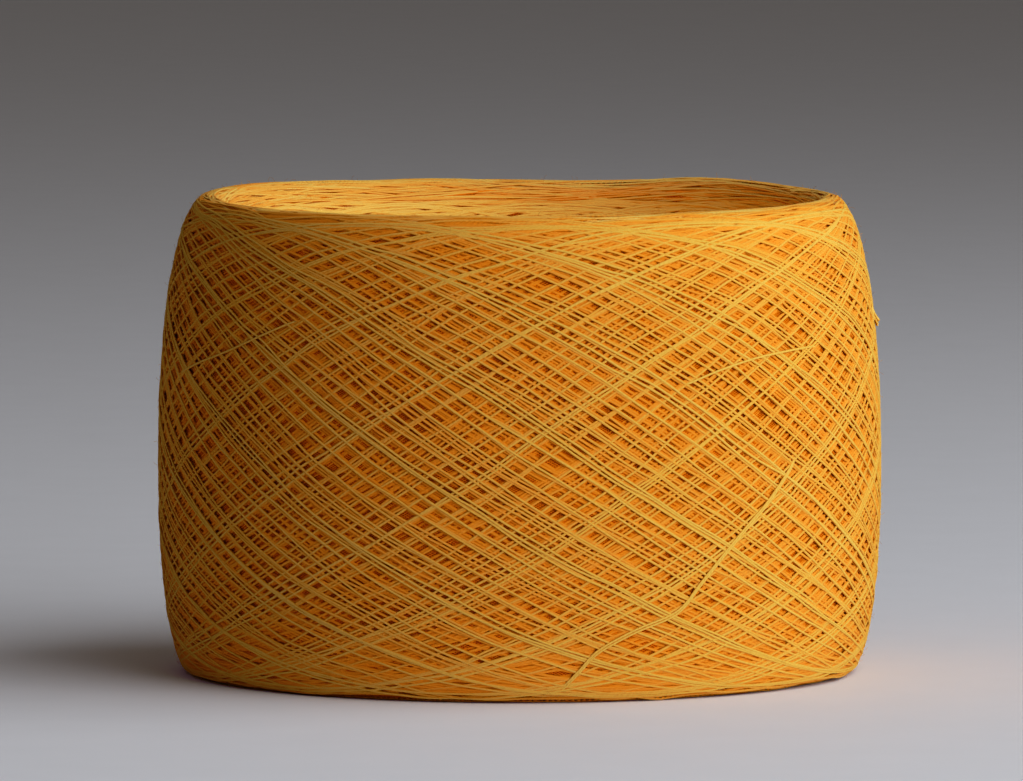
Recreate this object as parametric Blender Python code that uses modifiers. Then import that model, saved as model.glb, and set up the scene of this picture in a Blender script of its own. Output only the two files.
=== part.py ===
"""A coreless yarn cake: fine yarn cross-wound into a wide, barrel-sided ring that stands on its flat foot.

The cake is one solid. Its wall section is turned round the open middle, and its points are then moved
out along the main wound bands, where many strands of the tilted loops of yarn lie close together.
Units are metres, +Z is up, and the origin is the middle of the foot on the surface it stands on.
The side that the cake shows in its usual view faces -Y.
"""

import math

import bpy

# Driving sizes of the cake
CAKE_HEIGHT = 0.0985
BULGE_RADIUS = 0.0745
BULGE_HEIGHT = 0.0420
CREST_RADIUS = 0.0640
FOOT_OUTER_RADIUS = 0.0675
FOOT_INNER_RADIUS = 0.0630
OPENING_RADIUS = 0.0605
LIP_DROP = 0.0055
FOOT_ROUND_HEIGHT = 0.0040

# How full the round of the outer wall is: 2 is an ellipse, and more is squarer
WALL_RISE_POWER = 2.2
WALL_ROUND_POWER = 2.2

# Points of the section on each of its stretches, and sections round the cake
SHOULDER_POINTS = 15
LOWER_WALL_POINTS = 11
FOOT_CURVE_POINTS = 3
INNER_WALL_POINTS = 3
LIP_POINTS = 3
SECTIONS_ROUND = 144

# Main wound bands: the yarn goes a little over one turn round the cake in each rise and fall between
# the rims, so that its crowded strands fan out evenly, as many as given here, and cross each other
BANDS_ROUND = 12
BAND_TURN = math.radians(390.0)
BAND_HEIGHT = 0.00090
BAND_HALF_WIDTH = 0.0034
BAND_TILT = 0.740
BAND_START = math.radians(-2.5)
FRONT_ANGLE = math.radians(-90.0)

# Slow unevenness of a soft cake: how many waves round it, how far, and where the first crest lies
WALL_WAVES = (
    {"waves": 2, "depth": 0.00030, "start": 0.6},
    {"waves": 3, "depth": 0.00022, "start": 2.1},
    {"waves": 5, "depth": 0.00012, "start": 4.0},
)
RIM_WAVES = (
    {"waves": 1, "depth": 0.00020, "start": 3.1},
    {"waves": 2, "depth": 0.00050, "start": 5.4},
    {"waves": 3, "depth": 0.00020, "start": 1.0},
)
RIM_WAVE_REACH = 3.0

YARN_COLOUR = (0.80, 0.44, 0.07, 1.0)
YARN_ROUGHNESS = 0.85
MERGE_DISTANCE = 0.00001
FLAT_TOLERANCE = 0.00001


def clear_scene():
    for thing in list(bpy.data.objects):
        bpy.data.objects.remove(thing)


def round_over(share):
    """How far a wall has drawn in, 0 to 1, at a share 0 to 1 of the way from the bulge to its end."""
    left = max(0.0, 1.0 - share**WALL_RISE_POWER)
    return 1.0 - left ** (1.0 / WALL_ROUND_POWER)


def spread(count, crowd=1.0):
    """Shares from 0 towards 1, crowded near 1 where crowd is over 1."""
    return [1.0 - (1.0 - i / count) ** crowd for i in range(count + 1)]


def shoulder_stretch():
    """From the crest of the rim down the outer wall to the bulge, as (radius, height)."""
    points = []
    for share in reversed(spread(SHOULDER_POINTS, 1.6)):
        radius = BULGE_RADIUS - (BULGE_RADIUS - CREST_RADIUS) * round_over(share)
        height = BULGE_HEIGHT + (CAKE_HEIGHT - BULGE_HEIGHT) * share
        points.append((radius, height))
    return points


def lower_wall_stretch():
    """From just under the bulge to the outer edge of the flat foot."""
    points = []
    for share in spread(LOWER_WALL_POINTS, 1.4)[1:]:
        radius = BULGE_RADIUS - (BULGE_RADIUS - FOOT_OUTER_RADIUS) * round_over(share)
        points.append((radius, BULGE_HEIGHT * (1.0 - share)))
    return points


def quarter(centre, reach, start, end, count):
    """Points of a quarter ellipse about a centre, from one angle to another, without the first."""
    points = []
    for i in range(1, count + 1):
        angle = start + (end - start) * i / count
        radius = centre[0] + reach[0] * math.cos(angle)
        height = centre[1] + reach[1] * math.sin(angle)
        points.append((radius, height))
    return points


def inner_stretch():
    """From the foot's inner edge up the wall of the opening, and over the lip towards the crest."""
    foot_centre = (FOOT_INNER_RADIUS, FOOT_ROUND_HEIGHT)
    foot_reach = (FOOT_INNER_RADIUS - OPENING_RADIUS, FOOT_ROUND_HEIGHT)
    points = [(FOOT_INNER_RADIUS, 0.0)]
    points += quarter(foot_centre, foot_reach, 1.5 * math.pi, math.pi, FOOT_CURVE_POINTS)
    lip_base = CAKE_HEIGHT - LIP_DROP
    for i in range(1, INNER_WALL_POINTS + 1):
        share = i / INNER_WALL_POINTS
        points.append((OPENING_RADIUS, FOOT_ROUND_HEIGHT + (lip_base - FOOT_ROUND_HEIGHT) * share))
    lip_centre = (CREST_RADIUS, lip_base)
    lip_reach = (CREST_RADIUS - OPENING_RADIUS, LIP_DROP)
    return points + quarter(lip_centre, lip_reach, math.pi, 0.5 * math.pi, LIP_POINTS)[:-1]


def waves_at(waves, angle):
    return sum(w["depth"] * math.cos(w["waves"] * angle - w["start"]) for w in waves)


def band_rise(angle, radius, height):
    """How far the main wound bands stand out at an angle round the cake and a place on its wall."""
    middle = 0.5 * CAKE_HEIGHT
    pitch = 2.0 * math.pi / BANDS_ROUND
    cycle = 2.0 * math.pi / BAND_TURN
    bands_in_a_cycle = round(BAND_TURN / pitch)
    rise = 0.0
    for band in range(bands_in_a_cycle):
        phase = cycle * (angle - FRONT_ANGLE - BAND_START - band * pitch)
        on_band = middle + BAND_TILT * radius * math.sin(phase)
        slope = BAND_TILT * cycle * math.cos(phase)
        away = (height - on_band) / math.hypot(1.0, slope)
        rise = max(rise, math.exp(-((away / BAND_HALF_WIDTH) ** 2)))
    return BAND_HEIGHT * rise


def turned_ring(section, collection):
    """The section turned round the upright axis, as a closed mesh."""
    edges = [(i, (i + 1) % len(section)) for i in range(len(section))]
    outline = bpy.data.meshes.new("wall_section")
    outline.from_pydata([(radius, 0.0, height) for radius, height in section], edges, [])
    guide = bpy.data.objects.new("wall_section", outline)
    collection.objects.link(guide)
    screw = guide.modifiers.new("turn", "SCREW")
    screw.axis = "Z"
    screw.angle = 2.0 * math.pi
    screw.steps = SECTIONS_ROUND
    screw.render_steps = SECTIONS_ROUND
    screw.use_merge_vertices = True
    screw.merge_threshold = MERGE_DISTANCE
    bpy.context.view_layer.update()
    graph = bpy.context.evaluated_depsgraph_get()
    mesh = bpy.data.meshes.new_from_object(guide.evaluated_get(graph))
    bpy.data.objects.remove(guide)
    bpy.data.meshes.remove(outline)
    return mesh


def wind(mesh):
    """Moves each point of the ring to where the wound yarn holds it. The foot stays flat."""
    for vertex in mesh.vertices:
        x, y, height = vertex.co
        radius = math.hypot(x, y)
        angle = math.atan2(y, x)
        push = waves_at(WALL_WAVES, angle)
        on_outer_wall = radius > CREST_RADIUS and height > FLAT_TOLERANCE
        if on_outer_wall:
            push += band_rise(angle, radius, height)
        vertex.co.x = (radius + push) * math.cos(angle)
        vertex.co.y = (radius + push) * math.sin(angle)
        rim_share = (height / CAKE_HEIGHT) ** RIM_WAVE_REACH
        vertex.co.z = height + rim_share * waves_at(RIM_WAVES, angle)


def centre_on_axis(mesh):
    """Moves the ring level, so that the box round the uneven wall is centred on the upright axis."""
    for axis in (0, 1):
        places = [vertex.co[axis] for vertex in mesh.vertices]
        middle = 0.5 * (min(places) + max(places))
        for vertex in mesh.vertices:
            vertex.co[axis] -= middle


def yarn_material():
    material = bpy.data.materials.new("mustard_yarn")
    material.use_nodes = True
    shader = material.node_tree.nodes["Principled BSDF"]
    shader.inputs["Base Color"].default_value = YARN_COLOUR
    shader.inputs["Roughness"].default_value = YARN_ROUGHNESS
    shader.inputs["Metallic"].default_value = 0.0
    return material


def build_cake(collection):
    section = shoulder_stretch() + lower_wall_stretch() + inner_stretch()
    mesh = turned_ring(section, collection)
    wind(mesh)
    centre_on_axis(mesh)
    mesh.name = "yarn_cake"
    mesh.shade_smooth()
    mesh.materials.append(yarn_material())
    cake = bpy.data.objects.new("yarn_cake", mesh)
    collection.objects.link(cake)
    return cake


def main():
    clear_scene()
    collection = bpy.data.collections.new("yarn cake")
    bpy.context.scene.collection.children.link(collection)
    build_cake(collection)


main()
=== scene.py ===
import math

import bpy
import numpy as np
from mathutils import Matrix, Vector


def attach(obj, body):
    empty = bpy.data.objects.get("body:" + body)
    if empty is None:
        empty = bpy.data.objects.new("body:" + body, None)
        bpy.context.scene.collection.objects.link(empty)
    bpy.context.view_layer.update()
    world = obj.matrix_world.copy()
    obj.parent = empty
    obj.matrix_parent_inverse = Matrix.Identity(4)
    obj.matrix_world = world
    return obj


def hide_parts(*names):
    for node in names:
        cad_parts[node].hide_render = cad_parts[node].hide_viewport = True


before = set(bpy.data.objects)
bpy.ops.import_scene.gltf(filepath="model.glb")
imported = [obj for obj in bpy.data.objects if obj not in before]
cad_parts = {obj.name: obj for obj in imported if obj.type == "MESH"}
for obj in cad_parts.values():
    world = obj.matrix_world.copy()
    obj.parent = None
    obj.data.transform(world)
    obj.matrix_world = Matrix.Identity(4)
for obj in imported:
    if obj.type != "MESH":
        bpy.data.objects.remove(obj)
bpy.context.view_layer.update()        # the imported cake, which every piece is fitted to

cakeNode = "yarn_cake"
cakeSolid = bpy.data.objects[cakeNode]
fullTurn = 2.0 * math.pi

# The ring's section, with the driving sizes of its solid (metres)
ring = {
    "height": 0.0985,
    "bulgeRadius": 0.0745,
    "bulgeHeight": 0.0420,
    "crestRadius": 0.0640,
    "footOuterRadius": 0.0675,
    "footInnerRadius": 0.0630,
    "openingRadius": 0.0605,
    "lipDrop": 0.0055,
    "footRoundHeight": 0.0040,
    "roundPower": 2.2,           # 2 is an ellipse, more is squarer
    "wallWaves": ((2, 0.00030, 0.6), (3, 0.00022, 2.1), (5, 0.00012, 4.0)),   # waves round, depth, start
    "rimWaves": ((1, 0.00020, 3.1), (2, 0.00050, 5.4), (3, 0.00020, 1.0)),
    "rimWaveReach": 3.0,
    # a raised and a low place on the rim: degrees from the front, half width, height
    "rimBumps": ((141.0, 17.0, 0.0014), (218.0, 20.0, -0.0004)),
    "bumpReach": 3,              # how quickly they fade below the rim
    "step": 0.0001,              # spacing of the points that the outline is read from
}

# The yarn itself
yarn = {
    "diameter": 0.00053,
    "seat": 0.50,                # share of its thickness that a strand stands above what it crosses
    "bend": 230.0,               # how sharply a strand sags between the strands it crosses, 1/m
    "rimBend": 3.0,              # how much sharper at the turns, where strands lie side by side
    "reach": 0.0045,             # how far along itself a strand feels what lies under it
    "squash": 0.22,              # soft yarn presses into what it crosses
    "lift": 0.00026,             # the newest strands stand this far over the even wall
    "sink": 0.00005,             # how much further in each older layer has settled
    "fallLift": 0.00007,         # strands that fall to the right lie over those that rise
    "rimSink": 0.6,              # how much more they have settled at the turns
    "proud": -0.00020,           # strands over this level are pressed down
    "proudShare": 0.35,          # to this share of their height
    "easeSamples": 23,           # samples that a strand is evened out over
    "plyPitch": 0.00235,         # one full twist of the two plies
    "slant": 1.12,               # length along a strand for each length round the cake
    "shoulder": 0.22,            # how far under its crest its sides are, in thicknesses
    "skinRows": 25,              # rows that the level of the outermost strands is eased over
    "floorGap": 0.52,            # the middle of a strand keeps this far off the floor, in thicknesses
    "tuckSamples": 90,           # the ends of the yarn go in under its neighbours
    "tuckDrop": 0.0016,
    "columns": 1536,             # cells round the cake while it is wound
    "rowHeight": 0.0003,         # cells down its wall
}


def atShare(values, share):
    # the value at a share 0 to 1 of the way through a list
    return values[int(share * (len(values) - 1))]


def makeOutline():
    # the section as a closed line: over the crest, down the outer wall, under the foot and up the opening
    power = 2.0 / ring["roundPower"]
    swing = np.linspace(0.0, 0.5 * math.pi, 400)
    inward = 1.0 - np.cos(swing) ** power
    along = np.sin(swing) ** power
    shoulderR = ring["bulgeRadius"] - (ring["bulgeRadius"] - ring["crestRadius"]) * inward
    shoulderZ = ring["bulgeHeight"] + (ring["height"] - ring["bulgeHeight"]) * along
    lowerR = ring["bulgeRadius"] - (ring["bulgeRadius"] - ring["footOuterRadius"]) * inward
    lowerZ = ring["bulgeHeight"] * (1.0 - along)
    footR = ring["footInnerRadius"] - (ring["footInnerRadius"] - ring["openingRadius"]) * np.sin(swing)
    footZ = ring["footRoundHeight"] * (1.0 - np.cos(swing))
    lipBase = ring["height"] - ring["lipDrop"]
    lipR = ring["crestRadius"] - (ring["crestRadius"] - ring["openingRadius"]) * np.cos(swing)
    lipZ = lipBase + ring["lipDrop"] * np.sin(swing)
    radius = np.concatenate([shoulderR[::-1], lowerR[1:], footR, lipR])
    height = np.concatenate([shoulderZ[::-1], lowerZ[1:], footZ, lipZ])
    length = np.concatenate([[0.0], np.cumsum(np.hypot(np.diff(radius), np.diff(height)))])
    s = np.arange(0.0, length[-1], ring["step"])
    r = np.interp(s, length, radius)
    z = np.interp(s, length, height)
    # outward normals, eased round the tighter corners
    ease = np.ones(15) / 15.0
    dr = np.gradient(np.concatenate([r[-20:], r, r[:20]]))
    dz = np.gradient(np.concatenate([z[-20:], z, z[:20]]))
    dr = np.convolve(dr, ease, "same")[20:-20]
    dz = np.convolve(dz, ease, "same")[20:-20]
    size = np.hypot(dr, dz)
    return {"s": s, "r": r, "z": z, "nr": -dz / size, "nz": dr / size, "length": length[-1]}


outline = makeOutline()
footStart = outline["s"][np.argmax(outline["z"] <= 1e-6)]        # where the outer wall meets the floor
outerPart = outline["s"] <= footStart
innerPart = (outline["s"] > footStart + 0.004) & (outline["r"] <= ring["crestRadius"])


def outlineAt(s):
    s = np.mod(s, outline["length"])
    return [np.interp(s, outline["s"], outline[name]) for name in ("r", "z", "nr", "nz")]


def outerRow(z):
    # distance down the outline for a height on the outer wall
    return np.interp(-z, -outline["z"][outerPart], outline["s"][outerPart])


def innerRow(z):
    return np.interp(z, outline["z"][innerPart], outline["s"][innerPart])


footPoints = np.array([v.co[:] for v in cakeSolid.data.vertices if v.co.z < 1e-5])
axisX, axisY = footPoints[:, :2].mean(axis=0)                    # the ring's own axis, read from its solid


def wavesAt(waves, angle):
    return sum(depth * np.cos(count * angle - start) for count, depth, start in waves)


def onRing(angle, s, offset):
    # points on the cake: an angle from the front, a place on the section and a height over it
    r, z, nr, nz = outlineAt(s)
    solidAngle = angle - 0.5 * math.pi
    r = r + nr * offset + wavesAt(ring["wallWaves"], solidAngle)
    z = z + nz * offset
    rimShare = np.clip(z / ring["height"], 0.0, 1.1) ** ring["rimWaveReach"]
    z = z + rimShare * wavesAt(ring["rimWaves"], solidAngle)
    for place, width, rise in ring["rimBumps"]:
        away = (np.degrees(angle) - place + 180.0) % 360.0 - 180.0
        z = z + rise * rimShare ** ring["bumpReach"] * np.exp(-(away / width) ** 2)
    z = np.maximum(z, yarn["floorGap"] * yarn["diameter"])
    return np.stack([axisX + r * np.sin(angle), axisY - r * np.cos(angle), z], axis=-1)


def wallAt(angle, s):
    # the way that the wall faces at those places
    r, z, nr, nz = outlineAt(s)
    return np.stack([nr * np.sin(angle), -nr * np.cos(angle), nz], axis=-1)


# How the yarn is laid on either wall
laying = {
    "fan": 12.0,                 # cycles until the yarn comes round to lie beside itself
    "uneven": 0.10,              # share of the creep
    # how far short of the full tilt the turns fall, in shares of the plan's spread
    "short": 0.9,
    "shortShared": 0.9,          # neighbours turn at nearly the same height, so that they nest in arches
    "shortOwn": 0.30,
    "shortMost": 3.0,
    "neighbours": 34,
    "lowest": 0.0008,            # the yarn keeps this far from the foot
    "underCrest": 0.0003,
    "fineWander": 0.45,          # smaller strays on top of the others
    "fineLength": 0.35,
    "driftWaves": 7,
    "driftShare": 0.45,
}

# How the yarn was wound: tilted loops that creep round the cake
outerWinding = {
    "seed": 11,
    "layers": 6,
    "cyclesPerLayer": 78,        # one rise and fall of the yarn is a cycle
    "cycleTurn": 390.0,          # degrees round the cake in one cycle, so twelve fan out evenly
    "creep": 5.0,                # degrees between neighbouring strands
    "crowdEvery": 78,            # cycles from one crowded band of strands to the next
    "crowdCycles": 28,
    "crowdCreep": 1.05,
    "bandAngle": 12.5,           # where the newest band crosses mid height as it falls
    "middle": 0.0490,
    "topTilt": 0.764,            # most height gained for each metre of radius
    "bottomTilt": 0.722,
    "tiltSpread": 0.034,         # how far short of that the turns fall
    "bottomSpread": 0.050,
    "wander": 0.00044,           # sideways strays of one strand
    "wanderLength": 0.016,
    "drift": 0.00022,            # sideways strays that neighbours share
    "skin": 0.72,                # share of the wall that lies under the level taken as its skin
}
innerWinding = {
    "seed": 23,
    "layers": 4,
    "cyclesPerLayer": 60,
    "cycleTurn": 390.0,
    "creep": 6.0,
    "crowdEvery": 60,
    "crowdCycles": 20,
    "crowdCreep": 1.2,
    "bandAngle": 4.0,
    "middle": 0.0485,
    "topTilt": 0.765,
    "bottomTilt": 0.765,
    "tiltSpread": 0.016,
    "bottomSpread": 0.016,
    "wander": 0.00050,
    "wanderLength": 0.020,
    "drift": 0.00045,
    "skin": 0.85,
    "squeeze": 1.6,
}


def smoothNoise(rng, count, spacing):
    # a gentle random line, one knot for every so many samples, about -1 to 1
    knots = rng.normal(0.0, 1.0, int(count / spacing) + 4)
    line = np.interp(np.arange(count) / spacing, np.arange(len(knots)), knots)
    ease = np.hanning(int(spacing) | 1)
    return np.convolve(line, ease / ease.sum(), "same")


def yarnPath(plan, radiusOfHeight):
    # angle, height and phase of the yarn all along its length, sample by sample
    rng = np.random.default_rng(plan["seed"])
    cycles = plan["layers"] * plan["cyclesPerLayer"]
    sweep = plan["creep"] / laying["fan"]
    crowded = plan["crowdCreep"] / laying["fan"]
    place = (np.arange(cycles) - cycles) % plan["crowdEvery"]
    creep = np.where(place >= plan["crowdEvery"] - plan["crowdCycles"], crowded, sweep)
    creep = creep + rng.normal(0.0, laying["uneven"] * sweep, cycles)
    starts = np.radians(np.concatenate([[0.0], np.cumsum(plan["cycleTurn"] + creep)]))
    count = int(starts[-1] / fullTurn) * yarn["columns"]
    angle = np.arange(count) * fullTurn / yarn["columns"]
    phase = np.interp(angle, starts, fullTurn * np.arange(cycles + 1))
    wave = np.sin(phase)
    knots = fullTurn * np.arange(cycles + 1)
    short = []
    for _ in range(2):
        shared = laying["shortShared"] * smoothNoise(rng, cycles + 1, laying["neighbours"])
        own = laying["shortOwn"] * rng.exponential(1.0, cycles + 1)
        short.append((laying["short"] + shared + own).clip(0.0, laying["shortMost"]))
    topTilt = plan["topTilt"] - plan["tiltSpread"] * short[0]
    bottomTilt = plan["bottomTilt"] - plan["bottomSpread"] * short[1]
    tilt = np.where(wave > 0, np.interp(phase, knots, topTilt), np.interp(phase, knots, bottomTilt))
    # the height where radius times tilt meets the wave, read back from a table
    heights = np.linspace(laying["lowest"], ring["height"] - laying["underCrest"], 900)
    climb = (heights - plan["middle"]) / radiusOfHeight(heights)
    height = np.interp(tilt * wave, climb, heights)
    knotSamples = plan["wanderLength"] / (fullTurn * ring["bulgeRadius"] / yarn["columns"])
    stray = plan["wander"] * smoothNoise(rng, count, knotSamples)
    fineSamples = laying["fineLength"] * knotSamples
    stray += laying["fineWander"] * plan["wander"] * smoothNoise(rng, count, fineSamples)
    for _ in range(laying["driftWaves"]):
        waves, climbRate, start = rng.integers(5, 16), rng.uniform(-130.0, 130.0), rng.uniform(0.0, fullTurn)
        stray += plan["drift"] * laying["driftShare"] * np.sin(waves * angle + climbRate * height + start)
    height = height + stray * (0.30 + 0.70 * np.abs(np.cos(phase)))
    # turn the whole winding so that the newest band falls where it shows
    lastFall = np.degrees(starts[-2]) + 0.5 * plan["cycleTurn"]
    angle = angle + math.radians(plan["bandAngle"] - lastFall)
    return angle, height, phase


def pileYarn(angle, row, phase):
    # lays the yarn turn by turn on a height map of the wall
    # each strand rests on the highest of those that it crosses nearby
    columns = yarn["columns"]
    rows = int(outline["length"] / yarn["rowHeight"]) + 4
    cell = np.clip((row / yarn["rowHeight"]).astype(int) + 1, 1, rows - 2)
    heightMap = np.zeros((columns, rows), dtype=np.float32)
    stepLength = yarn["slant"] * fullTurn * ring["bulgeRadius"] / columns
    window = int(yarn["reach"] / stepLength)
    thick = yarn["diameter"]
    centre = np.zeros(len(angle), dtype=np.float32)
    own = np.arange(columns)
    for first in range(0, len(angle) // columns * columns, columns):
        near = np.arange(first - window, first + columns + window)
        held = np.clip(near, 0, len(angle) - 1)
        column = near % columns
        place = cell[held]
        under = np.maximum(heightMap[column, place - 1], heightMap[column, place])
        under = np.maximum(under, heightMap[column, place + 1])
        bend = yarn["bend"] * (1.0 + yarn["rimBend"] * nearTurn(phase[first:first + columns]))
        seat = under[window:window + columns].copy()
        for away in range(1, window + 1):
            drop = 0.5 * bend * (away * stepLength) ** 2
            seat = np.maximum(seat, under[window + away:window + away + columns] - drop)
            seat = np.maximum(seat, under[window - away:window - away + columns] - drop)
        middle = seat + (yarn["seat"] - 0.5) * thick
        centre[first:first + columns] = middle
        crest = middle + 0.5 * thick
        place = cell[first:first + columns]
        heightMap[own, place] = np.maximum(heightMap[own, place], crest)
        for side in (-1, 1):
            flank = crest - yarn["shoulder"] * thick
            heightMap[own, place + side] = np.maximum(heightMap[own, place + side], flank)
    return centre, heightMap, cell


def skinOf(heightMap, share):
    # the level of the outermost strands, row by row, eased down the wall
    level = np.zeros(heightMap.shape[1])
    for row in range(len(level)):
        covered = heightMap[:, row][heightMap[:, row] > 0.0]
        level[row] = atShare(np.sort(covered), share) if len(covered) > 4 else np.nan
    known = np.flatnonzero(~np.isnan(level))
    level = np.interp(np.arange(len(level)), known, level[known])
    ease = np.hanning(yarn["skinRows"])
    return np.convolve(np.pad(level, yarn["skinRows"] // 2, mode="edge"), ease / ease.sum(), "valid")


def ageOf(plan, angle):
    # how many layers lie over each sample of the yarn
    return plan["layers"] * (1.0 - np.arange(len(angle)) / len(angle))


def nearTurn(phase):
    # 1 where a strand turns at a rim, 0 where it crosses the wall
    return (1.0 - np.abs(np.cos(phase))) ** 2


def settle(centre, skin, squeeze, age):
    # presses the pile together and evens it out along each strand; what stands over the skin is held down
    offset = (centre - skin) * squeeze * yarn["squash"]
    proud = yarn["proud"]
    offset = np.where(offset > proud, proud + yarn["proudShare"] * (offset - proud), offset)
    ease = np.hanning(yarn["easeSamples"])
    return np.convolve(offset, ease / ease.sum(), "same") + yarn["lift"] - yarn["sink"] * age


print("winding the outer wall")
angleOut, heightOut, phaseOut = yarnPath(outerWinding, lambda z: outlineAt(outerRow(z))[0])
rowOut = outerRow(heightOut)
centreOut, mapOut, cellOut = pileYarn(angleOut, rowOut, phaseOut)
skinOut = skinOf(mapOut, outerWinding["skin"])
midDepth = skinOut[int(outerRow(ring["bulgeHeight"]) / yarn["rowHeight"]) + 1]
squeezeOut = np.minimum(1.0, midDepth / np.maximum(skinOut, 1e-5))
ageOut = ageOf(outerWinding, angleOut)
settledAge = ageOut * (1.0 + yarn["rimSink"] * nearTurn(phaseOut))
offsetOut = settle(centreOut, skinOut[cellOut], squeezeOut[cellOut], settledAge)
offsetOut -= yarn["fallLift"] * np.cos(phaseOut)
print("  %d turns, %.1f mm deep at mid height, %.1f mm at the rims before easing" % (
    len(angleOut) // yarn["columns"], 1000 * midDepth, 1000 * skinOut.max()))

print("winding the wall of the opening")
angleIn, heightIn, phaseIn = yarnPath(innerWinding, lambda z: np.full_like(z, ring["openingRadius"]))
rowIn = innerRow(heightIn)
centreIn, mapIn, cellIn = pileYarn(angleIn, rowIn, phaseIn)
innerDepth = atShare(np.sort(mapIn[:, cellIn.min():cellIn.max()].mean(axis=0)), 0.5)
skinIn = skinOf(mapIn, innerWinding["skin"])
squeezeIn = np.minimum(1.0, innerWinding["squeeze"] * innerDepth / np.maximum(skinIn, 1e-5))
ageIn = ageOf(innerWinding, angleIn)
offsetIn = settle(centreIn, skinIn[cellIn], squeezeIn[cellIn], ageIn) - 0.5 * yarn["lift"]
print("  %d turns, %.1f mm deep" % (len(angleIn) // yarn["columns"], 1000 * innerDepth))


class Wire:
    # a node's output, so that shader maths reads as plain sums
    def __init__(self, maker, socket):
        self.maker = maker
        self.socket = socket

    def other(self, output):
        # another output of the same node
        return Wire(self.maker, self.socket.node.outputs[output])

    def sum(self, operation, first, second):
        return self.maker.node("ShaderNodeMath", {"operation": operation}, {0: first, 1: second})

    def __add__(self, other):
        return self.sum("ADD", self, other)

    def __radd__(self, other):
        return self.sum("ADD", other, self)

    def __sub__(self, other):
        return self.sum("SUBTRACT", self, other)

    def __rsub__(self, other):
        return self.sum("SUBTRACT", other, self)

    def __mul__(self, other):
        return self.sum("MULTIPLY", self, other)

    def __rmul__(self, other):
        return self.sum("MULTIPLY", other, self)

    def __truediv__(self, other):
        return self.sum("DIVIDE", self, other)


class Maker:
    # adds nodes to a tree: a type, its settings first, then the values or wires of its sockets
    def __init__(self, tree):
        self.tree = tree

    def node(self, kind, settings=None, sockets=None, output=0):
        made = self.tree.nodes.new(kind)
        for name, value in (settings or {}).items():
            setattr(made, name, value)
        for key, value in (sockets or {}).items():
            if isinstance(value, Wire):
                self.tree.links.new(value.socket, made.inputs[key])
            else:
                made.inputs[key].default_value = value
        return Wire(self, made.outputs[output]) if made.outputs else None

    def clampedMix(self, share, low, high):
        # a colour between two, by a share 0 to 1
        return self.node("ShaderNodeMix", {"data_type": "RGBA"}, {0: share, 6: low, 7: high}, output=2)


def attribute(maker, name, output):
    return maker.node("ShaderNodeAttribute", {"attribute_name": name}, output=output)


# The yarn's colour and surface, with painted shade on the sides of each strand and deep in the pile
mustard = {
    "light": (0.74, 0.455, 0.098, 1.0),
    "dark": (0.76, 0.400, 0.060, 1.0),
    # the colour of the painted shade on each strand's sides
    "side": (0.82, 0.280, 0.010, 1.0),
    # the colour of the painted shade deep in the pile
    "paintedDeepShade": (0.87, 0.240, 0.005, 1.0),
    "paintedSideShare": 0.92,
    "paintedDeepShare": 0.90,
    "roughness": 0.88,
    "sheen": 0.25,
    "sheenTint": (1.0, 0.66, 0.12, 1.0),
    "fuzz": 0.68,                # how far the fine fibres even out the light on each strand
    "twistDepth": 0.00003,
    "fibreDepth": 0.000016,
}


def newMaterial(name):
    material = bpy.data.materials.new(name)
    material.use_nodes = True
    material.node_tree.nodes.clear()
    return material, Maker(material.node_tree)


# Painted light: the yarn of the opening and of the turns at the crest is given a lighter colour, in place of
# the light that goes to and fro across the opening
paintedOpeningLight = {"light": (0.80, 0.548, 0.160, 1.0), "dark": (0.82, 0.470, 0.092, 1.0)}


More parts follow.
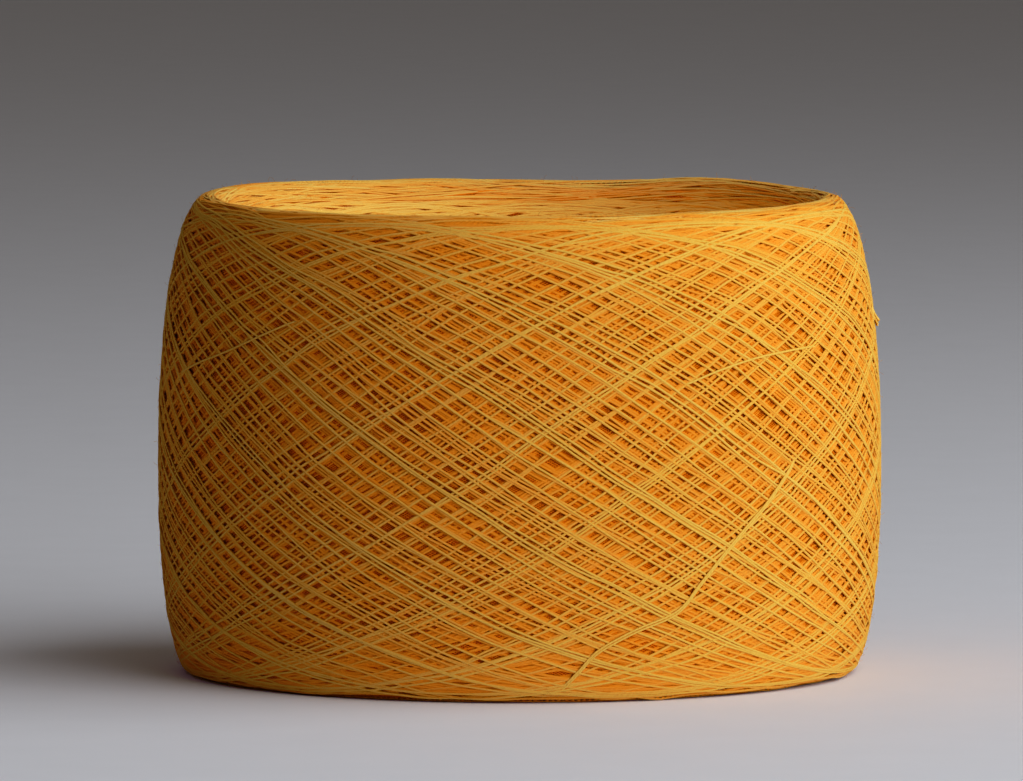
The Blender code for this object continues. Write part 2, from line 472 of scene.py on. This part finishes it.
def makeYarnMaterial(name, look):
    material, maker = newMaterial(name)
    along = attribute(maker, "along", 2)
    cosine = maker.node("ShaderNodeSeparateXYZ", None, {0: attribute(maker, "around", 1)})
    sine = cosine.other(1)
    tint = attribute(maker, "tint", 2)
    depth = attribute(maker, "depth", 2)
    place = maker.node("ShaderNodeTexCoord", output=3)
    # two plies twisted together: sin(twist + 2 * around), from the stored sine and cosine
    twist = along * (2.0 * fullTurn / yarn["plyPitch"])
    twistSine = maker.node("ShaderNodeMath", {"operation": "SINE"}, {0: twist})
    twistCosine = maker.node("ShaderNodeMath", {"operation": "COSINE"}, {0: twist})
    doubleCosine = cosine * cosine - sine * sine
    doubleSine = 2.0 * sine * cosine
    ply = 0.5 + 0.5 * (twistSine * doubleCosine + twistCosine * doubleSine)
    fibre = maker.node("ShaderNodeTexNoise", None, {
        "Vector": place, "Scale": 2600.0, "Detail": 3.0, "Roughness": 0.6})
    cloud = maker.node("ShaderNodeTexNoise", None, {"Vector": place, "Scale": 55.0, "Detail": 2.0})
    # the ply term darkens the grooves of the twist: painted shade
    mottle = 0.30 * fibre + 0.25 * cloud + 0.30 * tint + 0.15 * ply
    shade = maker.node("ShaderNodeMapRange", None, {0: mottle, 1: 0.25, 2: 0.75})
    colour = maker.clampedMix(shade, look["dark"], look["light"])
    # painted shade: a strand's sides, turned away from the wall, are coloured a deeper orange, in place of
    # the light that goes into soft yarn and comes back more orange
    normal = maker.node("ShaderNodeNewGeometry", output=1)
    wall = attribute(maker, "wall", 1)
    upright = maker.node("ShaderNodeVectorMath", {"operation": "DOT_PRODUCT"}, {0: normal, 1: wall}, output=1)
    side = maker.node("ShaderNodeMapRange", {"interpolation_type": "SMOOTHSTEP"}, {
        0: upright, 1: 1.0, 2: 0.25})
    colour = maker.clampedMix(side * mustard["paintedSideShare"], colour, mustard["side"])
    # painted shade: strands deep in the pile, and older layers, are coloured a darker orange
    colour = maker.clampedMix(depth * mustard["paintedDeepShare"], colour, mustard["paintedDeepShade"])
    relief = ply * mustard["twistDepth"] + fibre * mustard["fibreDepth"]
    facing = maker.node("ShaderNodeMix", {"data_type": "VECTOR"}, {
        0: mustard["fuzz"], 4: normal, 5: wall}, output=1)
    facing = maker.node("ShaderNodeVectorMath", {"operation": "NORMALIZE"}, {0: facing})
    bump = maker.node("ShaderNodeBump", None, {
        "Strength": 1.0, "Distance": 1.0, "Height": relief, "Normal": facing})
    rough = mustard["roughness"] - 0.06 * ply
    shader = maker.node("ShaderNodeBsdfPrincipled", None, {
        "Base Color": colour, "Roughness": rough, "Normal": bump, "Sheen Weight": mustard["sheen"],
        "Sheen Roughness": 0.45, "Sheen Tint": mustard["sheenTint"], "Specular IOR Level": 0.15})
    maker.node("ShaderNodeOutputMaterial", None, {"Surface": shader})
    return material


# The oldest layers, which only show at the bottom of the gaps, painted a darker orange for the shade down
# there, with painted shade between their strands
shadedOldLayers = {
    "paintedGapShade": (0.48, 0.078, 0.001, 1.0),
    "strand": (0.77, 0.200, 0.004, 1.0),
    "strandsRound": 531,         # crossing strands round the cake in each direction
    "strandsDown": 420,          # and along its section
    "relief": 0.00016,
}


def makeCoreMaterial():
    material, maker = newMaterial("deepYarn")
    place = maker.node("ShaderNodeTexCoord", output=3)
    winding = maker.node("ShaderNodeUVMap", {"uv_map": "winding"})
    around = maker.node("ShaderNodeSeparateXYZ", None, {0: winding})
    down = around.other(1)
    stray = maker.node("ShaderNodeTexNoise", None, {"Vector": place, "Scale": 130.0, "Detail": 1.0})
    stray = stray * 5.0
    across = around * (fullTurn * shadedOldLayers["strandsRound"]) + stray
    along = down * (fullTurn * shadedOldLayers["strandsDown"])
    falling = maker.node("ShaderNodeMath", {"operation": "SINE"}, {0: across + along})
    rising = maker.node("ShaderNodeMath", {"operation": "SINE"}, {0: across - along})
    strands = maker.node("ShaderNodeMath", {"operation": "MAXIMUM"}, {0: falling, 1: rising})
    fibre = maker.node("ShaderNodeTexNoise", None, {"Vector": place, "Scale": 1400.0, "Detail": 2.0})
    strands = 0.38 + 0.34 * strands + 0.45 * fibre
    share = maker.node("ShaderNodeMapRange", None, {0: strands, 1: 0.35, 2: 0.90})
    # painted shade in the gaps between the painted strands
    colour = maker.clampedMix(share, shadedOldLayers["paintedGapShade"], shadedOldLayers["strand"])
    bump = maker.node("ShaderNodeBump", None, {"Distance": 1.0, "Height": share * shadedOldLayers["relief"]})
    shader = maker.node("ShaderNodeBsdfPrincipled", None, {
        "Base Color": colour, "Roughness": 0.95, "Normal": bump, "Specular IOR Level": 0.1})
    maker.node("ShaderNodeOutputMaterial", None, {"Surface": shader})
    return material


yarnMaterial = makeYarnMaterial("mustardYarn", mustard)
paintedLightOpeningMaterial = makeYarnMaterial("openingYarn", paintedOpeningLight)
coreMaterial = makeCoreMaterial()


def namedInput(tree, name, kind, value=None):
    socket = tree.interface.new_socket(name=name, in_out="INPUT", socket_type=kind)
    if value is not None:
        socket.default_value = value
    return socket.identifier


def makeStrandTree():
    # turns a line of points into a round strand that knows how far along and around it each point is
    tree = bpy.data.node_groups.new("spinStrand", "GeometryNodeTree")
    namedInput(tree, "Path", "NodeSocketGeometry")
    keys = {
        "diameter": namedInput(tree, "Diameter", "NodeSocketFloat", yarn["diameter"]),
        "sides": namedInput(tree, "Sides", "NodeSocketInt", 6),
        "material": namedInput(tree, "Material", "NodeSocketMaterial"),
    }
    tree.interface.new_socket(name="Strand", in_out="OUTPUT", socket_type="NodeSocketGeometry")
    maker = Maker(tree)
    inputs = tree.nodes.new("NodeGroupInput")
    path, diameter, sides, finish = [Wire(maker, inputs.outputs[i]) for i in range(4)]
    curve = maker.node("GeometryNodeMeshToCurve", None, {0: path})
    length = maker.node("GeometryNodeSplineParameter", output=1)
    curve = maker.node("GeometryNodeStoreNamedAttribute", {"data_type": "FLOAT", "domain": "POINT"}, {
        "Geometry": curve, "Name": "along", "Value": length})
    radius = diameter * 0.5
    circle = maker.node("GeometryNodeCurvePrimitiveCircle", {"mode": "RADIUS"}, {
        "Resolution": sides, "Radius": radius})
    spot = maker.node("GeometryNodeInputPosition")
    spot = maker.node("ShaderNodeVectorMath", {"operation": "NORMALIZE"}, {0: spot})
    circle = maker.node("GeometryNodeStoreNamedAttribute", {"data_type": "FLOAT_VECTOR", "domain": "POINT"}, {
        "Geometry": circle, "Name": "around", "Value": spot})
    tube = maker.node("GeometryNodeCurveToMesh", None, {
        "Curve": curve, "Profile Curve": circle, "Fill Caps": True})
    tube = maker.node("GeometryNodeSetShadeSmooth", None, {0: tube, 2: True})
    tube = maker.node("GeometryNodeRealizeInstances", None, {0: tube})
    tube = maker.node("GeometryNodeSetMaterial", None, {"Geometry": tube, "Material": finish})
    result = tree.nodes.new("NodeGroupOutput")
    tree.links.new(tube.socket, result.inputs[0])
    return tree, keys


strandTree, strandKeys = makeStrandTree()


def markPoints(mesh, walls, tints, paintedShades):
    # what the yarn's material reads from each point
    for label, values in (("tint", tints), ("depth", paintedShades)):
        layer = mesh.attributes.new(label, "FLOAT", "POINT")
        layer.data.foreach_set("value", values.astype(np.float32))
    layer = mesh.attributes.new("wall", "FLOAT_VECTOR", "POINT")
    layer.data.foreach_set("vector", walls.astype(np.float32).ravel())


def pathMesh(name, lines, walls, tints, paintedShades):
    # one mesh of open lines, each line a list of points joined end to end
    points = np.concatenate(lines)
    edges = []
    first = 0
    for line in lines:
        index = np.arange(first, first + len(line) - 1)
        edges.append(np.stack([index, index + 1], axis=1))
        first += len(line)
    edges = np.concatenate(edges)
    mesh = bpy.data.meshes.new(name)
    mesh.vertices.add(len(points))
    mesh.vertices.foreach_set("co", points.astype(np.float32).ravel())
    mesh.edges.add(len(edges))
    mesh.edges.foreach_set("vertices", edges.astype(np.int32).ravel())
    markPoints(mesh, np.concatenate(walls), np.concatenate(tints), np.concatenate(paintedShades))
    mesh.update()
    return mesh


def makePlain(guide, name, tree, values):
    # runs a tree on a guide object and keeps the result as a plain mesh object
    bpy.context.scene.collection.objects.link(guide)
    modifier = guide.modifiers.new(tree.name, "NODES")
    modifier.node_group = tree
    for key, value in values.items():
        modifier[key] = value
    graph = bpy.context.evaluated_depsgraph_get()
    mesh = bpy.data.meshes.new_from_object(guide.evaluated_get(graph))
    guide.modifiers.remove(modifier)
    bpy.data.objects.remove(guide)
    mesh.name = name
    piece = bpy.data.objects.new(name, mesh)
    bpy.context.scene.collection.objects.link(piece)
    return piece


def spin(name, lines, walls, tints, paintedShades, sides, diameter=None, material=yarnMaterial):
    guide = bpy.data.objects.new(name + "Path", pathMesh(name + "Path", lines, walls, tints, paintedShades))
    piece = makePlain(guide, name, strandTree, {
        strandKeys["diameter"]: diameter or yarn["diameter"],
        strandKeys["sides"]: sides,
        strandKeys["material"]: material,
    })
    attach(piece, "root")
    print("  %s: %d triangles" % (name, sum(len(p.vertices) - 2 for p in piece.data.polygons)))


def tuck(offset, count, drop):
    # the first and last stretch of a yarn goes in under its neighbours
    ramp = np.clip(np.minimum(np.arange(len(offset)), np.arange(len(offset))[::-1]) / count, 0.0, 1.0)
    return offset - drop * (1.0 - ramp) ** 2


# The outer wall in four lengths of one yarn, from one layer to another, the newest with the most points
# the older strands are thicker than the yarn, to fill the gaps as soft yarn does
outerLengths = (
    {"name": "outerStrandsDeep", "from": 0.0, "to": 3.2,
     "pointsPerTurn": 64, "sides": 4, "diameter": 0.00078},
    {"name": "outerStrandsMiddle", "from": 3.2, "to": 4.6,
     "pointsPerTurn": 128, "sides": 4, "diameter": 0.00069},
    {"name": "outerStrandsUpper", "from": 4.6, "to": 5.3,
     "pointsPerTurn": 192, "sides": 5, "diameter": 0.00062},
    {"name": "outerStrandsTop", "from": 5.3, "to": 6.0,
     "pointsPerTurn": 192, "sides": 5, "diameter": 0.00062},
)
# Painted shade: the yarn's colour deepens to a darker orange where it lies out of the light: between two
# depths, and between two ages in layers
paintedShadeFade = {
    "from": 0.0,
    "to": 0.00065,
    "young": 0.4,
    "old": 2.9,
    "byAge": 0.78,               # how much the age counts, next to the depth
    "rising": 0.6,               # strands that rise to the right lie under the falling ones, and get more painted shade
    "atTurns": 2.2,              # and so do the turns at the rims, where strands lie side by side
}
offsetOut = tuck(offsetOut, yarn["tuckSamples"], yarn["tuckDrop"])
# Lighter and darker stretches along the yarn, some hundreds of samples long
# the opening's strands are set lighter as a whole: painted light
shades = {"seed": 5, "spread": 0.28, "length": 700, "outer": 0.5, "inner": 0.8}
tintNoise = np.random.default_rng(shades["seed"])


def paintedShadeOf(offset, age):
    byDepth = np.clip((-offset - paintedShadeFade["from"]) / (paintedShadeFade["to"] - paintedShadeFade["from"]), 0.0, 1.0)
    byAge = np.clip((age - paintedShadeFade["young"]) / (paintedShadeFade["old"] - paintedShadeFade["young"]), 0.0, 1.0)
    return byDepth + (byAge - byDepth) * paintedShadeFade["byAge"]


def tintAlong(count, middle):
    return np.clip(middle + shades["spread"] * smoothNoise(tintNoise, count, shades["length"]), 0.0, 1.0)


def layYarn(length, angle, row, offset, phase, age, layers, tint):
    count = len(angle)
    step = yarn["columns"] // length["pointsPerTurn"]
    first = int(count * length["from"] / layers) // step * step
    last = min(int(count * length["to"] / layers) // step * step, count - 1)
    index = np.arange(first, last + 1, step)
    points = onRing(angle[index], row[index], offset[index])
    # more painted shade on older strands, on the turns at the rims and on strands that rise
    shadeAge = age[index] * length.get("ageing", 1.0) * (1.0 + paintedShadeFade["atTurns"] * nearTurn(phase[index]))
    depth = paintedShadeOf(offset[index], shadeAge + paintedShadeFade["rising"] * np.clip(np.cos(phase[index]), 0.0, 1.0))
    spin(length["name"], [points], [wallAt(angle[index], row[index])], [tint[index]], [depth],
         length["sides"], length["diameter"], length.get("material", yarnMaterial))


print("spinning the outer strands")
tintOut = tintAlong(len(angleOut), shades["outer"])
for length in outerLengths:
    layYarn(length, angleOut, rowOut, offsetOut, phaseOut, ageOut, outerWinding["layers"], tintOut)

# the opening's strands take only a tenth of the painted shade by age
innerLengths = (
    {"name": "innerStrands", "from": 1.0, "to": 4.0, "pointsPerTurn": 64, "sides": 4, "diameter": 0.00062,
     "ageing": 0.1, "material": paintedLightOpeningMaterial},
)
print("spinning the strands of the opening")
tintIn = tintAlong(len(angleIn), shades["inner"])
for length in innerLengths:
    layYarn(length, angleIn, rowIn, offsetIn, phaseIn, ageIn, innerWinding["layers"], tintIn)

# Turns of the layers in between, which only show where they round a rim
# each turn's depth is its share of the painted shade, more at the foot than at the crest, and uneven from one
# turn to the next
rims = (
    {"name": "crestTurns", "seed": 31, "count": 1000, "sides": 4, "points": 13, "level": (-0.00050, 0.00006),
     "low": -0.0070, "high": 0.0016, "halfTurn": (18.0, 40.0), "lean": 0.0022, "bury": 0.0012, "depth": 0.28,
     "material": paintedLightOpeningMaterial},
    {"name": "footTurns", "seed": 37, "count": 560, "sides": 4, "points": 9, "level": (-0.00050, 0.00020),
     "low": footStart - 0.0004, "high": footStart + 0.0085, "halfTurn": (13.0, 28.0), "lean": 0.0008,
     "bury": 0.0016, "depth": 0.52, "material": yarnMaterial},
)
goldenShare = 0.618034           # spreads the turns round the cake with no pattern
uneven = {"place": 0.05, "tint": 0.2, "depth": 0.26}     # from one turn to the next


def makeRimTurns(rim):
    rng = np.random.default_rng(rim["seed"])
    lines, walls, tints, paintedShades = [], [], [], []
    for i in range(rim["count"]):
        middle = fullTurn * ((i * goldenShare) % 1.0) + rng.normal(0.0, uneven["place"])
        place = rng.uniform(rim["low"], rim["high"])
        half = math.radians(rng.uniform(*rim["halfTurn"]))
        lean = rng.normal(0.0, rim["lean"])
        level = rng.uniform(*rim["level"])
        share = np.linspace(-1.0, 1.0, rim["points"])
        offset = level - rim["bury"] * share ** 2
        row = place + lean * share
        lines.append(onRing(middle + half * share, row, offset))
        walls.append(wallAt(middle + half * share, row))
        tint = np.clip(0.5 + rng.normal(0.0, uneven["tint"]), 0.0, 1.0)
        depth = np.clip(rim["depth"] + rng.normal(0.0, uneven["depth"]), 0.0, 1.0)
        tints.append(np.full(rim["points"], tint))
        paintedShades.append(np.full(rim["points"], depth))
    spin(rim["name"], lines, walls, tints, paintedShades, rim["sides"], material=rim["material"])


print("spinning the turns at both rims")
for rim in rims:
    makeRimTurns(rim)


# Loose strands that lie across the others: places as degrees right of the front and millimetres up
strays = {
    "shallow": ((25.0, 63.5), (27.0, 64.5), (33.0, 67.0), (40.0, 69.0), (47.0, 70.0), (54.0, 70.5),
                (57.0, 70.2)),
    "steep": ((5.0, 1.5), (6.5, 3.0), (9.5, 7.0), (12.5, 11.0), (18.5, 15.0), (25.5, 18.5), (29.5, 24.0),
              (33.5, 29.5), (38.0, 35.0), (42.5, 40.0), (47.5, 46.5), (50.0, 50.0)),
    "over": 0.00034,             # height over the even wall
    "apart": 0.00056,            # between the two strands of the steep one
    "spacing": 0.0012,
    "seed": 41,
    "tint": 0.85,
    "tuckPoints": 5,
    "tuckDrop": 0.0011,
    "others": 7,                 # more of them, out of view: where they start, rise, lie and turn
    "othersStart": (1.5, 5.2),
    "othersRise": (0.2, 0.9),
    "othersLow": (0.025, 0.070),
    "othersTurn": (0.35, 0.65),
    "othersKnots": 5,
    "othersStray": 0.0008,
}
tuft = {
    "angle": 86.5,
    "top": 0.0757,
    "drop": 0.0030,
    "fibres": 18,
    "points": 6,
    "reach": 0.0013,
    "thickness": 0.00050,
    "lit": 0.7,                  # how far its shading turns towards the light
    "seed": 43,
}


def smoothLine(angles, heights, spacing):
    # a curve through a few places on the outer wall, as angles and heights at an even spacing
    share = np.arange(len(angles), dtype=float)
    fine = np.linspace(0.0, share[-1], 40 * len(angles))
    line = []
    for values in (angles, heights):
        values = np.asarray(values, dtype=float)
        slope = np.gradient(values)
        left = np.minimum(fine.astype(int), len(values) - 2)
        t = fine - left
        line.append(values[left] * (1 + 2 * t) * (1 - t) ** 2 + slope[left] * t * (1 - t) ** 2
                    + values[left + 1] * t ** 2 * (3 - 2 * t) - slope[left + 1] * t ** 2 * (1 - t))
    reach = np.cumsum(np.hypot(np.gradient(line[0]) * ring["bulgeRadius"], np.gradient(line[1])))
    even = np.arange(reach[0], reach[-1], spacing)
    return np.interp(even, reach, line[0]), np.interp(even, reach, line[1])


def makeStrays():
    rng = np.random.default_rng(strays["seed"])
    routes = []
    for name, copies in (("shallow", 1), ("steep", 2)):
        angles = np.radians([place[0] for place in strays[name]])
        heights = 0.001 * np.array([place[1] for place in strays[name]])
        for copy in range(copies):
            routes.append((angles, heights - copy * strays["apart"]))
    for _ in range(strays["others"]):
        start = rng.uniform(*strays["othersStart"])
        rise = rng.uniform(*strays["othersRise"]) * rng.choice((-1.0, 1.0))
        low = rng.uniform(*strays["othersLow"])
        turn = np.linspace(0.0, rng.uniform(*strays["othersTurn"]), strays["othersKnots"])
        climb = rise * 0.5 * ring["bulgeRadius"] * turn
        stray = rng.normal(0.0, strays["othersStray"], strays["othersKnots"])
        routes.append((start + turn, low + climb + stray))
    lines, walls, tints, paintedShades = [], [], [], []
    for angles, heights in routes:
        angle, height = smoothLine(angles, heights, strays["spacing"])
        row = outerRow(np.clip(height, 0.001, ring["height"] - 0.001))
        offset = tuck(np.full(len(angle), strays["over"]), strays["tuckPoints"], strays["tuckDrop"])
        lines.append(onRing(angle, row, offset))
        walls.append(wallAt(angle, row))
        tints.append(np.full(len(angle), strays["tint"]))
        paintedShades.append(np.zeros(len(angle)))
    spin("looseStrands", lines, walls, tints, paintedShades, 6)


def makeTuft():
    # a few fibres that have worked out of the yarn at the right, as a wedge that hangs down
    rng = np.random.default_rng(tuft["seed"])
    lines, walls, tints, paintedShades = [], [], [], []
    for _ in range(tuft["fibres"]):
        along = np.linspace(0.0, 1.0, tuft["points"])
        reach = tuft["reach"] * rng.uniform(0.1, 1.0)
        angle = math.radians(tuft["angle"]) + rng.normal(0.0, 0.007) + rng.normal(0.0, 0.006) * along ** 2
        height = tuft["top"] + rng.normal(0.0, 0.0003) - tuft["drop"] * rng.uniform(0.80, 1.05) * along
        row = outerRow(height)
        lines.append(onRing(angle, row, 0.0001 + reach * along ** 1.3))
        walls.append(wallAt(angle - tuft["lit"], row))
        tints.append(np.ones(tuft["points"]))
        paintedShades.append(np.zeros(tuft["points"]))
    spin("looseTuft", lines, walls, tints, paintedShades, 5, tuft["thickness"])


print("laying the loose strands")
makeStrays()
makeTuft()

# Fine fibres that stand off the yarn
fuzz = {
    "seed": 47,
    "outer": 2600,               # fibres on the newest strands, and on the upper rim
    "rim": 420,
    "newest": 1.2,               # layers
    "tint": 0.8,
    "rimRows": (-0.006, 0.004),  # from the crest towards the opening and down the outer wall
    "thickness": 0.000042,
    "length": 0.0015,
}


def makeFuzzTree():
    # sets a bent fibre on every point, turned out of the wall and then at random
    tree = bpy.data.node_groups.new("growFuzz", "GeometryNodeTree")
    namedInput(tree, "Roots", "NodeSocketGeometry")
    keys = {
        "length": namedInput(tree, "Length", "NodeSocketFloat", fuzz["length"]),
        "thickness": namedInput(tree, "Thickness", "NodeSocketFloat", fuzz["thickness"]),
        "seed": namedInput(tree, "Seed", "NodeSocketInt", fuzz["seed"]),
        "material": namedInput(tree, "Material", "NodeSocketMaterial"),
    }
    tree.interface.new_socket(name="Fuzz", in_out="OUTPUT", socket_type="NodeSocketGeometry")
    maker = Maker(tree)
    inputs = tree.nodes.new("NodeGroupInput")
    roots, length, thickness, seed, finish = [Wire(maker, inputs.outputs[i]) for i in range(5)]
    bend = maker.node("GeometryNodeCurveQuadraticBezier", None, {
        "Resolution": 3, "Start": (0.0, 0.0, -0.2), "Middle": (0.25, 0.0, 0.55), "End": (0.85, 0.15, 0.40)})
    radius = thickness / length * 0.5
    circle = maker.node("GeometryNodeCurvePrimitiveCircle", {"mode": "RADIUS"}, {
        "Resolution": 3, "Radius": radius})
    fibre = maker.node("GeometryNodeCurveToMesh", None, {
        "Curve": bend, "Profile Curve": circle, "Fill Caps": True})
    wall = maker.node("GeometryNodeInputNamedAttribute", {"data_type": "FLOAT_VECTOR"}, {"Name": "wall"})
    upright = maker.node("FunctionNodeAlignRotationToVector", {"axis": "Z"}, {"Vector": wall})
    swing = maker.node("FunctionNodeRandomValue", {"data_type": "FLOAT_VECTOR"}, {
        0: (-0.7, -0.7, -3.2), 1: (0.7, 0.7, 3.2), "Seed": seed})
    turned = maker.node("FunctionNodeRotateRotation", {"rotation_space": "LOCAL"}, {0: upright, 1: swing})
    size = maker.node("FunctionNodeRandomValue", {"data_type": "FLOAT"}, {
        2: 0.5, 3: 1.25, "Seed": seed + 1.0}, output=1)
    fibres = maker.node("GeometryNodeInstanceOnPoints", None, {
        "Points": roots, "Instance": fibre, "Rotation": turned, "Scale": size * length})
    fibres = maker.node("GeometryNodeRealizeInstances", None, {0: fibres})
    fibres = maker.node("GeometryNodeSetMaterial", None, {"Geometry": fibres, "Material": finish})
    result = tree.nodes.new("NodeGroupOutput")
    tree.links.new(fibres.socket, result.inputs[0])
    return tree, keys


def growFuzz():
    rng = np.random.default_rng(fuzz["seed"])
    newest = np.flatnonzero(ageOut < fuzz["newest"])
    pick = rng.choice(newest, fuzz["outer"], replace=False)
    angle, row, offset = angleOut[pick], rowOut[pick], offsetOut[pick]
    angle = np.concatenate([angle, rng.uniform(0.0, fullTurn, fuzz["rim"])])
    row = np.concatenate([row, rng.uniform(*fuzz["rimRows"], fuzz["rim"])])
    offset = np.concatenate([offset, np.zeros(fuzz["rim"])])
    mesh = bpy.data.meshes.new("fuzzRoots")
    mesh.vertices.add(len(angle))
    mesh.vertices.foreach_set("co", onRing(angle, row, offset).astype(np.float32).ravel())
    markPoints(mesh, wallAt(angle, row), np.full(len(angle), fuzz["tint"]), np.zeros(len(angle)))
    guide = bpy.data.objects.new("fuzzRoots", mesh)
    tree, keys = makeFuzzTree()
    piece = makePlain(guide, "yarnFuzz", tree, {
        keys["length"]: fuzz["length"],
        keys["thickness"]: fuzz["thickness"],
        keys["seed"]: fuzz["seed"],
        keys["material"]: yarnMaterial,
    })
    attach(piece, "root")
    print("  yarnFuzz: %d triangles" % sum(len(p.vertices) - 2 for p in piece.data.polygons))


print("growing the fuzz")
growFuzz()

# The body of the cake under its outer strands
core = {"turns": 144, "rows": 120, "outerDepth": 0.00036, "innerDepth": 0.00030, "rimDepth": 0.00042}


def makeCore():
    s = np.linspace(0.0, outline["length"], core["rows"], endpoint=False)
    r, z, nr, nz = outlineAt(s)
    onOuter = np.clip(nr, 0.0, 1.0) ** 0.5
    onInner = np.clip(-nr, 0.0, 1.0) ** 0.5
    depth = core["rimDepth"] + (core["outerDepth"] - core["rimDepth"]) * onOuter
    depth = depth + (core["innerDepth"] - core["rimDepth"]) * onInner
    angles = np.linspace(0.0, fullTurn, core["turns"], endpoint=False)
    vertices = [onRing(np.full(len(s), a), s, -depth) for a in angles]
    vertices = np.concatenate(vertices)
    rows, turns = core["rows"], core["turns"]
    faces = []
    for i in range(turns):
        for j in range(rows):
            a = i * rows + j
            b = i * rows + (j + 1) % rows
            c = (i + 1) % turns * rows + (j + 1) % rows
            d = (i + 1) % turns * rows + j
            faces.append((a, b, c, d))
    mesh = bpy.data.meshes.new("cakeBody")
    mesh.from_pydata(vertices.tolist(), [], faces)
    # its own UVs: the way round and the way along the section, each from 0 to 1 with no jump at the seam
    i, j = np.divmod(np.arange(turns * rows), rows)
    steps = ((0, 0), (0, 1), (1, 1), (1, 0))
    corners = np.stack([np.stack([i + a, j + b], axis=1) for a, b in steps], axis=1)
    layer = mesh.uv_layers.new(name="winding")
    layer.data.foreach_set("uv", (corners / (turns, rows)).astype(np.float32).ravel())
    mesh.shade_smooth()
    mesh.materials.append(coreMaterial)
    body = bpy.data.objects.new("cakeBody", mesh)
    bpy.context.scene.collection.objects.link(body)
    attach(body, "root")
    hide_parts(cakeNode)


print("shaping the body")
makeCore()


# A pale floor, soft light from the right, a weak one in the opening, and the camera
studio = {
    "floorSize": 9.0,
    "floorLevel": -0.0001,
    "floorColour": (0.73, 0.72, 0.775, 1.0),
    "skyColour": (0.34, 0.312, 0.275, 1.0),
    "skyStrength": 0.42,
}
lights = (                       # degrees to the right of the camera and up, then metres and watts
    {"name": "windowLight", "aside": 67.0, "rise": 27.0, "away": 1.20, "size": 2.3, "power": 30.0,
     "colour": (0.92, 0.98, 1.0)},
    {"name": "fillLight", "aside": 48.0, "rise": 8.0, "away": 1.50, "size": 1.2, "power": 10.0,
     "colour": (0.95, 0.98, 1.0)},
    # light that goes to and fro in the soft opening
    {"name": "openingGlow", "aside": -95.0, "rise": 8.0, "away": 0.040, "size": 0.030, "power": 0.026,
     "colour": (1.0, 0.66, 0.16), "aim": (0.045, 0.040, 0.092)},
)
view = {
    "distance": 2.600,
    "height": 0.2607,
    "aimHeight": 0.0582,
    "aside": -0.00170,
    "lens": 441.6,
    # tone curves, each as values before and after: all three colours, then the shade of green and of blue
    "curve": ((0.02, 0.0115), (0.05, 0.033), (0.10, 0.074), (0.20, 0.170), (0.35, 0.330), (0.60, 0.590),
              (0.85, 0.800)),
    "green": ((0.015, 0.0105), (0.03, 0.0225), (0.045, 0.037), (0.058, 0.053), (0.07, 0.07), (0.10, 0.10),
              (0.2, 0.2)),
    "blue": ((0.005, 0.0022), (0.010, 0.0052), (0.018, 0.014), (0.028, 0.030), (0.040, 0.042),
             (0.06, 0.06), (0.10, 0.10), (0.2, 0.2)),
    "white": 0.92,
}


def makeFloor():
    half = 0.5 * studio["floorSize"]
    mesh = bpy.data.meshes.new("floor")
    level = studio["floorLevel"]
    corners = [(-half, -half, level), (half, -half, level), (half, half, level), (-half, half, level)]
    mesh.from_pydata(corners, [], [(0, 1, 2, 3)])
    material, maker = newMaterial("paleFloor")
    place = maker.node("ShaderNodeTexCoord", output=3)
    grain = maker.node("ShaderNodeTexNoise", None, {"Vector": place, "Scale": 60.0, "Detail": 3.0})
    pale = studio["floorColour"]
    greyer = tuple(0.96 * c for c in pale[:3]) + (1.0,)
    colour = maker.clampedMix(grain, greyer, pale)
    shader = maker.node("ShaderNodeBsdfPrincipled", None, {
        "Base Color": colour, "Roughness": 0.7, "Specular IOR Level": 0.2})
    maker.node("ShaderNodeOutputMaterial", None, {"Surface": shader})
    mesh.materials.append(material)
    floor = bpy.data.objects.new("floor", mesh)
    bpy.context.scene.collection.objects.link(floor)


def makeLight(plan):
    light = bpy.data.lights.new(plan["name"], "AREA")
    light.shape = "SQUARE"
    light.size = plan["size"]
    light.energy = plan["power"]
    light.color = plan["colour"]
    lamp = bpy.data.objects.new(plan["name"], light)
    aside, rise = math.radians(plan["aside"]), math.radians(plan["rise"])
    level = plan["away"] * math.cos(rise)
    lamp.location = (level * math.sin(aside), -level * math.cos(aside), 0.05 + plan["away"] * math.sin(rise))
    aim = Vector(plan.get("aim", (0.0, 0.0, 0.05))) - lamp.location
    lamp.rotation_euler = aim.to_track_quat("-Z", "Y").to_euler()
    lamp.visible_camera = False
    bpy.context.scene.collection.objects.link(lamp)


def makeSky():
    world = bpy.data.worlds.new("studio")
    world.use_nodes = True
    backdrop = world.node_tree.nodes["Background"]
    backdrop.inputs[0].default_value = studio["skyColour"]
    backdrop.inputs[1].default_value = studio["skyStrength"]
    bpy.context.scene.world = world


def makeCamera():
    camera = bpy.data.cameras.new("camera")
    camera.lens = view["lens"]
    camera.sensor_width = 36.0
    holder = bpy.data.objects.new("camera", camera)
    holder.location = (view["aside"], -view["distance"], view["height"])
    aim = Vector((view["aside"], 0.0, view["aimHeight"])) - holder.location
    holder.rotation_euler = aim.to_track_quat("-Z", "Y").to_euler()
    bpy.context.scene.collection.objects.link(holder)
    bpy.context.scene.camera = holder


def finishPicture():
    # the photograph's tones: a soft toe and shoulder, and deeper green and blue in the shade
    settings = bpy.context.scene.view_settings
    settings.view_transform = "Standard"
    settings.use_curve_mapping = True
    mapping = settings.curve_mapping
    mapping.curves[3].points[-1].location = (1.0, view["white"])
    for name, number in (("green", 1), ("blue", 2), ("curve", 3)):
        for before, after in view[name]:
            mapping.curves[number].points.new(before, after)
    mapping.update()


print("lighting the scene")
makeFloor()
for light in lights:
    makeLight(light)
makeSky()
makeCamera()
finishPicture()
